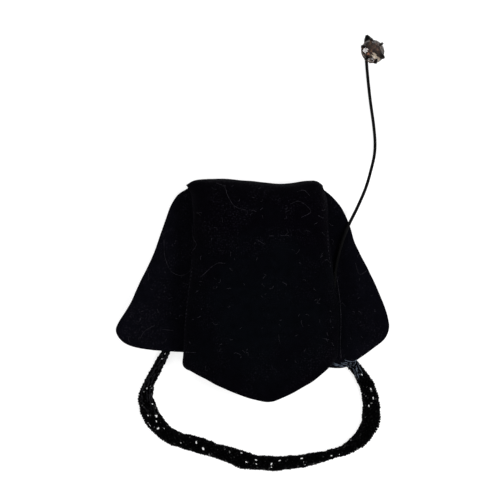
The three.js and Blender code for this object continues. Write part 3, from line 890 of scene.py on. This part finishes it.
def wire_knot():
    """Black thread wound tightly round the doubled wire's end, wider towards the stone."""
    line = []
    steps = KNOT_TURNS * KNOT_STEPS
    for step in range(steps + 1):
        share = step / steps
        angle = 2 * math.pi * step / KNOT_STEPS
        half_width = KNOT_TIP_HALF + (KNOT_FOOT_HALF - KNOT_TIP_HALF) * share**KNOT_SWELL
        middle = KNOT_TOP_MIDDLE + (KNOT_FOOT_MIDDLE - KNOT_TOP_MIDDLE) * share
        x = middle + half_width * math.cos(angle)
        y = KNOT_TOP + (KNOT_FOOT - KNOT_TOP) * share
        line.append(Vector((x, y, KNOT_LEVEL + KNOT_HALF_HEIGHT * math.sin(angle))) * MM)
    knot = threads("wire_knot", [line], KNOT_THREAD * MM)
    shown(knot, thread_finish("black_thread", BLACK_SHADES), "wire")


def setting_axis():
    """The direction up the leaning setting."""
    lean = Vector((-math.sin(JEWEL_AZIMUTH), math.cos(JEWEL_AZIMUTH), 0))
    return Matrix.Rotation(JEWEL_TILT, 3, lean) @ Vector((0, 0, 1))


def dark_metal(up):
    """Dark silvered metal, painted black above a level up the setting's axis, where its claws are, as
    painted dark reflection.
    """
    metal = Finish("dark_silvered_metal", Metallic=1.0)
    worn = metal.mottle(WORN_SIZE, detail=3.0)
    both = {0: metal.place(), 1: up}
    along = metal.node("ShaderNodeVectorMath", {"operation": "DOT_PRODUCT"}, both, "Value")
    level = (along - JEWEL_FOOT.dot(up) / MM) * (1 / LEVEL_SCALE)
    black_from = BLACK_LEVEL / LEVEL_SCALE
    # Painted dark reflection: the claws are painted black for the dark room they mirror
    painted_dark = metal.ramp(level, [(black_from, 0.0), (black_from + BLACK_EDGE, 1.0)])
    silvered = metal.mix(worn, *METAL_SHADES)
    metal.set(Base_Color=metal.mix(painted_dark, silvered, PAINTED_DARK_SHADE))
    metal.set(Roughness=METAL_ROUGHNESS + WORN_ROUGHNESS * worn)
    return metal


def claw_setting(up):
    """The metal cup with its claws."""
    cup = piece_of(node_copy("stone_setting"), "claw_setting")
    softened = cup.modifiers.new("softened", "BEVEL")
    softened.width = SOFTENED_EDGE
    softened.segments = SOFTENED_STEPS
    softened.limit_method = "ANGLE"
    shown(cup, dark_metal(up), "setting", "stone_setting")


def cut_stone(up):
    """The stone of smoky glass, foiled on its downward facets, with one side of them painted cream as a
    painted highlight.
    """
    glass = Finish("smoky_cut_glass", Base_Color=GLASS_SHADE, Roughness=GLASS_ROUGHNESS, IOR=GLASS_INDEX)
    glass.set(Transmission_Weight=GLASS_CLEARNESS)
    foil = Finish("foil_of_the_stone", Metallic=1.0, Roughness=FOIL_ROUGHNESS)
    foil.set(Base_Color=foil.mix(foil.mottle(FOIL_SIZE), *FOIL_SHADES))
    # Painted highlight: facets on one side are painted cream for the light that shows through the stone
    painted_highlight = Finish("painted_highlight_of_the_stone", Base_Color=PAINTED_HIGHLIGHT_SHADE, Roughness=PAINTED_HIGHLIGHT_ROUGHNESS)
    bm = node_copy("rhinestone")
    bmesh.ops.dissolve_limit(bm, angle_limit=FACET_ANGLE, verts=bm.verts, edges=bm.edges)
    stone = piece_of(bm, "cut_stone")
    shown(stone, glass, "stone", "rhinestone")
    stone.data.materials.append(foil.material)
    stone.data.materials.append(painted_highlight.material)
    for facet in stone.data.polygons:
        if facet.normal.dot(up) < DOWNWARD:
            on_highlight_side = facet.normal.dot(PAINTED_HIGHLIGHT_SIDE) > PAINTED_HIGHLIGHT_WIDTH * facet.normal.xy.length
            facet.material_index = PAINTED_HIGHLIGHT_INDEX if on_highlight_side else FOIL_INDEX


camera_and_room()
pale_floor()
bell = velvet_piece("bell_back", "velvet_bell", velvet("dusty_velvet", BELL_SHADES), BELL_CLOUD)
crown = velvet_piece("crown_front", "velvet_crown", velvet("black_velvet", CROWN_SHADES), CROWN_CLOUD)
band = beaded_band(glossy_beads())
covered_wire()
wire_knot()
axis = setting_axis()
claw_setting(axis)
cut_stone(axis)
core_threads(thread_finish("core_thread", CORE_SHADES))
wing = Ground(bell, band)
grey_fibre = thread_finish("grey_fibre", GREY_SHADES)
lint(Ground(bell, crown, band), grey_fibre)
lashing(wing, thread_finish("pale_thread", PALE_SHADES))
strap_strands(Ground(band), thread_finish("dark_thread", DARK_SHADES))
seam(wing, Ground(crown), grey_fibre)
